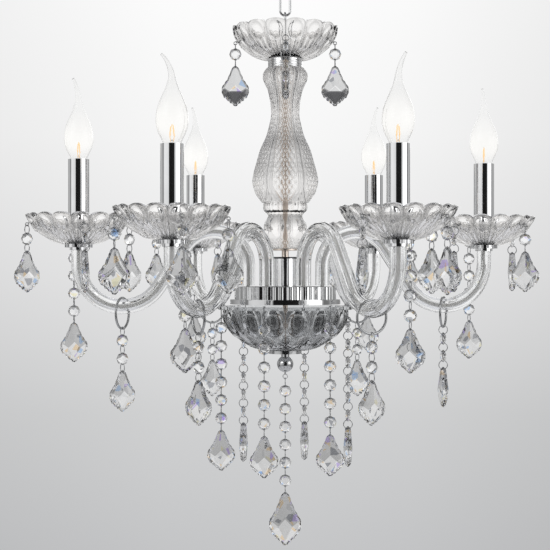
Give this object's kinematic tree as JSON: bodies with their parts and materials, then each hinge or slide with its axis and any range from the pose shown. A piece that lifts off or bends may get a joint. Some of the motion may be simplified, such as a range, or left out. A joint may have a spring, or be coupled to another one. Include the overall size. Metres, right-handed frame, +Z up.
{
  "type": "crystal chandelier",
  "caption": "Clear glass chandelier hung on a short chain: curved tubular arms with dishes, chrome candles and flame bulbs, a turned column, and strands of faceted crystal.",
  "frame": {"origin": "on the ceiling, midway between the two bracket screws, on the chandelier's axis", "axes": "+Z up, along the chandelier's axis; +X to the right and +Y away from the viewer as pictured"},
  "size_m": [0.6311, 0.5691, 0.753],
  "materials": {
    "glass": "polished",
    "crystal": "polished",
    "bulb_glass": "polished",
    "chrome": "polished",
    "steel": "satin",
    "holder": "matte"
  },
  "bodies": {
    "ceiling_mount": {"ceiling_bracket": "steel", "ceiling_canopy": "chrome", "ceiling_loop": "chrome"},
    "chain_link_1": {"chain_link_1": "chrome"},
    "chain_link_2": {"chain_link_2": "chrome"},
    "frame": {"hanging_loop": "chrome", "top_dish": "glass", "top_collar": "chrome", "glass_column": "glass", "column_foot": "glass", "centre_rod": "steel", "centre_sleeve": "chrome", "hub_drum": "chrome", "glass_bowl": "glass", "finial": "chrome", "glass_arms": "glass", "arm_ferrules": "chrome", "candle_cups": "chrome", "lampholders": "holder", "candle_sleeves": "chrome", "candle_dishes": "glass"},
    "bulb_1": {"bulb_1": "bulb_glass"},
    "side_drops_1": {"side_drops_1": "crystal"},
    "outer_drop_1": {"outer_drop_1": "crystal"},
    "dish_strand_1": {"dish_strand_1": "crystal"},
    "ring_strand_1": {"ring_strand_1": "crystal"},
    "bulb_2": {"bulb_2": "bulb_glass"},
    "side_drops_2": {"side_drops_2": "crystal"},
    "outer_drop_2": {"outer_drop_2": "crystal"},
    "dish_strand_2": {"dish_strand_2": "crystal"},
    "ring_strand_2": {"ring_strand_2": "crystal"},
    "bulb_3": {"bulb_3": "bulb_glass"},
    "side_drops_3": {"side_drops_3": "crystal"},
    "outer_drop_3": {"outer_drop_3": "crystal"},
    "dish_strand_3": {"dish_strand_3": "crystal"},
    "ring_strand_3": {"ring_strand_3": "crystal"},
    "bulb_4": {"bulb_4": "bulb_glass"},
    "side_drops_4": {"side_drops_4": "crystal"},
    "outer_drop_4": {"outer_drop_4": "crystal"},
    "dish_strand_4": {"dish_strand_4": "crystal"},
    "ring_strand_4": {"ring_strand_4": "crystal"},
    "bulb_5": {"bulb_5": "bulb_glass"},
    "side_drops_5": {"side_drops_5": "crystal"},
    "outer_drop_5": {"outer_drop_5": "crystal"},
    "dish_strand_5": {"dish_strand_5": "crystal"},
    "ring_strand_5": {"ring_strand_5": "crystal"},
    "bulb_6": {"bulb_6": "bulb_glass"},
    "side_drops_6": {"side_drops_6": "crystal"},
    "outer_drop_6": {"outer_drop_6": "crystal"},
    "dish_strand_6": {"dish_strand_6": "crystal"},
    "ring_strand_6": {"ring_strand_6": "crystal"},
    "bowl_strand_1": {"bowl_strand_1": "crystal"},
    "bowl_strand_2": {"bowl_strand_2": "crystal"},
    "bowl_strand_3": {"bowl_strand_3": "crystal"},
    "bowl_strand_4": {"bowl_strand_4": "crystal"},
    "bowl_strand_5": {"bowl_strand_5": "crystal"},
    "bowl_strand_6": {"bowl_strand_6": "crystal"},
    "centre_strand": {"centre_strand": "crystal"},
    "top_drops_1": {"top_drops_1": "crystal"},
    "top_drops_2": {"top_drops_2": "crystal"}
  },
  "joints": [
    {"name": "chain_link_1_swing", "type": "hinge", "parent": "ceiling_mount", "child": "chain_link_1", "pos_m": [0, 0, -0.0565], "axis": [1, 0, 0], "range_deg": [-15, 15]},
    {"name": "chain_link_2_swing", "type": "hinge", "parent": "chain_link_1", "child": "chain_link_2", "pos_m": [0, 0, -0.08025], "axis": [0, 1, 0], "range_deg": [-15, 15]},
    {"name": "frame_swing", "type": "hinge", "parent": "chain_link_2", "child": "frame", "pos_m": [0, 0, -0.10435], "axis": [1, 0, 0], "range_deg": [-15, 15]},
    {"name": "bulb_1_out", "type": "slide", "parent": "frame", "child": "bulb_1", "axis": [0, 0, 1], "range_m": [0, 0.03]},
    {"name": "side_drops_1_swing", "type": "hinge", "parent": "frame", "child": "side_drops_1", "pos_m": [0.24814, 0.03047, -0.35995], "axis": [0.7071, 0.7071, 0], "range_deg": [-10, 10]},
    {"name": "outer_drop_1_swing", "type": "hinge", "parent": "frame", "child": "outer_drop_1", "pos_m": [0.29127, -0.01267, -0.35995], "axis": [0.7071, -0.7071, 0], "range_deg": [-10, 10]},
    {"name": "dish_strand_1_swing", "type": "hinge", "parent": "frame", "child": "dish_strand_1", "pos_m": [0.23859, 0.09072, -0.35995], "axis": [-0.1564, 0.9877, 0], "range_deg": [-8, 8]},
    {"name": "ring_strand_1_swing", "type": "hinge", "parent": "frame", "child": "ring_strand_1", "pos_m": [0.19652, 0.02413, -0.45995], "axis": [0.9925, 0.1219, 0], "range_deg": [-20, 20]},
    {"name": "bulb_2_out", "type": "slide", "parent": "frame", "child": "bulb_2", "axis": [0, 0, 1], "range_m": [0, 0.03]},
    {"name": "side_drops_2_swing", "type": "hinge", "parent": "frame", "child": "side_drops_2", "pos_m": [0.125, 0.21651, -0.35995], "axis": [0.866, 0.5, 0], "range_deg": [-10, 10]},
    {"name": "outer_drop_2_swing", "type": "hinge", "parent": "frame", "child": "outer_drop_2", "pos_m": [0.1555, 0.16368, -0.35995], "axis": [0.5, -0.866, 0], "range_deg": [-10, 10]},
    {"name": "dish_strand_2_swing", "type": "hinge", "parent": "frame", "child": "dish_strand_2", "pos_m": [0.11968, 0.27727, -0.35995], "axis": [-0.0872, 0.9962, 0], "range_deg": [-8, 8]},
    {"name": "ring_strand_2_swing", "type": "hinge", "parent": "frame", "child": "ring_strand_2", "pos_m": [0.099, 0.17147, -0.45995], "axis": [0.5, 0.866, 0], "range_deg": [-20, 20]},
    {"name": "bulb_3_out", "type": "slide", "parent": "frame", "child": "bulb_3", "axis": [0, 0, 1], "range_m": [0, 0.03]},
    {"name": "side_drops_3_swing", "type": "hinge", "parent": "frame", "child": "side_drops_3", "pos_m": [-0.12311, 0.21759, -0.35995], "axis": [0.8387, 0.5446, 0], "range_deg": [-10, 10]},
    {"name": "outer_drop_3_swing", "type": "hinge", "parent": "frame", "child": "outer_drop_3", "pos_m": [-0.08988, 0.16643, -0.35995], "axis": [0.5446, -0.8387, 0], "range_deg": [-10, 10]},
    {"name": "dish_strand_3_swing", "type": "hinge", "parent": "frame", "child": "dish_strand_3", "pos_m": [-0.12842, 0.27836, -0.35995], "axis": [-0.0872, 0.9962, 0], "range_deg": [-8, 8]},
    {"name": "ring_strand_3_swing", "type": "hinge", "parent": "frame", "child": "ring_strand_3", "pos_m": [-0.0975, 0.17233, -0.45995], "axis": [-0.4924, 0.8704, 0], "range_deg": [-20, 20]},
    {"name": "bulb_4_out", "type": "slide", "parent": "frame", "child": "bulb_4", "axis": [0, 0, 1], "range_m": [0, 0.03]},
    {"name": "side_drops_4_swing", "type": "hinge", "parent": "frame", "child": "side_drops_4", "pos_m": [-0.24757, -0.03479, -0.35995], "axis": [0.9659, 0.2588, 0], "range_deg": [-10, 10]},
    {"name": "outer_drop_4_swing", "type": "hinge", "parent": "frame", "child": "outer_drop_4", "pos_m": [-0.23178, -0.09372, -0.35995], "axis": [0.2588, -0.9659, 0], "range_deg": [-10, 10]},
    {"name": "dish_strand_4_swing", "type": "hinge", "parent": "frame", "child": "dish_strand_4", "pos_m": [-0.26232, 0.0244, -0.35995], "axis": [-0.2419, 0.9703, 0], "range_deg": [-8, 8]},
    {"name": "ring_strand_4_swing", "type": "hinge", "parent": "frame", "child": "ring_strand_4", "pos_m": [-0.19607, -0.02756, -0.45995], "axis": [-0.9903, -0.1392, 0], "range_deg": [-20, 20]},
    {"name": "bulb_5_out", "type": "slide", "parent": "frame", "child": "bulb_5", "axis": [0, 0, 1], "range_m": [0, 0.03]},
    {"name": "side_drops_5_swing", "type": "hinge", "parent": "frame", "child": "side_drops_5", "pos_m": [-0.1212, -0.21865, -0.35995], "axis": [0.9703, 0.2419, 0], "range_deg": [-10, 10]},
    {"name": "outer_drop_5_swing", "type": "hinge", "parent": "frame", "child": "outer_drop_5", "pos_m": [-0.10644, -0.27784, -0.35995], "axis": [0.2419, -0.9703, 0], "range_deg": [-10, 10]},
    {"name": "dish_strand_5_swing", "type": "hinge", "parent": "frame", "child": "dish_strand_5", "pos_m": [-0.11166, -0.15841, -0.35995], "axis": [0.1564, 0.9877, 0], "range_deg": [0, 12]},
    {"name": "ring_strand_5_swing", "type": "hinge", "parent": "frame", "child": "ring_strand_5", "pos_m": [-0.09599, -0.17317, -0.45995], "axis": [-0.4848, -0.8746, 0], "range_deg": [-5, 20]},
    {"name": "bulb_6_out", "type": "slide", "parent": "frame", "child": "bulb_6", "axis": [0, 0, 1], "range_m": [0, 0.03]},
    {"name": "side_drops_6_swing", "type": "hinge", "parent": "frame", "child": "side_drops_6", "pos_m": [0.11737, -0.22074, -0.35995], "axis": [0.6691, 0.7431, 0], "range_deg": [-8, 8]},
    {"name": "outer_drop_6_swing", "type": "hinge", "parent": "frame", "child": "outer_drop_6", "pos_m": [0.1641, -0.25995, -0.35995], "axis": [0.766, -0.6428, 0], "range_deg": [-10, 10]},
    {"name": "dish_strand_6_swing", "type": "hinge", "parent": "frame", "child": "dish_strand_6", "pos_m": [0.13622, -0.16272, -0.35995], "axis": [0.309, 0.9511, 0], "range_deg": [-6, 6]},
    {"name": "ring_strand_6_swing", "type": "hinge", "parent": "frame", "child": "ring_strand_6", "pos_m": [0.09295, -0.17482, -0.45995], "axis": [0.4695, -0.8829, 0], "range_deg": [-20, 12]},
    {"name": "bowl_strand_1_swing", "type": "hinge", "parent": "frame", "child": "bowl_strand_1", "pos_m": [0.07771, 0.01581, -0.46195], "axis": [0.9799, 0.1994, 0], "range_deg": [-8, 8]},
    {"name": "bowl_strand_2_swing", "type": "hinge", "parent": "frame", "child": "bowl_strand_2", "pos_m": [0.02516, 0.0752, -0.46195], "axis": [0.3173, 0.9483, 0], "range_deg": [-8, 8]},
    {"name": "bowl_strand_3_swing", "type": "hinge", "parent": "frame", "child": "bowl_strand_3", "pos_m": [-0.05255, 0.05939, -0.46195], "axis": [-0.6626, 0.749, 0], "range_deg": [-8, 8]},
    {"name": "bowl_strand_4_swing", "type": "hinge", "parent": "frame", "child": "bowl_strand_4", "pos_m": [-0.07771, -0.01581, -0.46195], "axis": [-0.9799, -0.1994, 0], "range_deg": [-8, 8]},
    {"name": "bowl_strand_5_swing", "type": "hinge", "parent": "frame", "child": "bowl_strand_5", "pos_m": [-0.02516, -0.0752, -0.46195], "axis": [-0.3173, -0.9483, 0], "range_deg": [-8, 8]},
    {"name": "bowl_strand_6_swing", "type": "hinge", "parent": "frame", "child": "bowl_strand_6", "pos_m": [0.05255, -0.05939, -0.46195], "axis": [0.6626, -0.749, 0], "range_deg": [-8, 8]},
    {"name": "centre_strand_swing", "type": "hinge", "parent": "frame", "child": "centre_strand", "pos_m": [0, 0, -0.5476], "axis": [0, 1, 0], "range_deg": [-10, 10]},
    {"name": "top_drops_1_swing", "type": "hinge", "parent": "frame", "child": "top_drops_1", "pos_m": [0, 0, -0.13645], "axis": [1, 0, 0], "range_deg": [-10, 10]},
    {"name": "top_drops_2_swing", "type": "hinge", "parent": "frame", "child": "top_drops_2", "pos_m": [0, 0, -0.13645], "axis": [0, 1, 0], "range_deg": [-10, 10]}
  ]
}
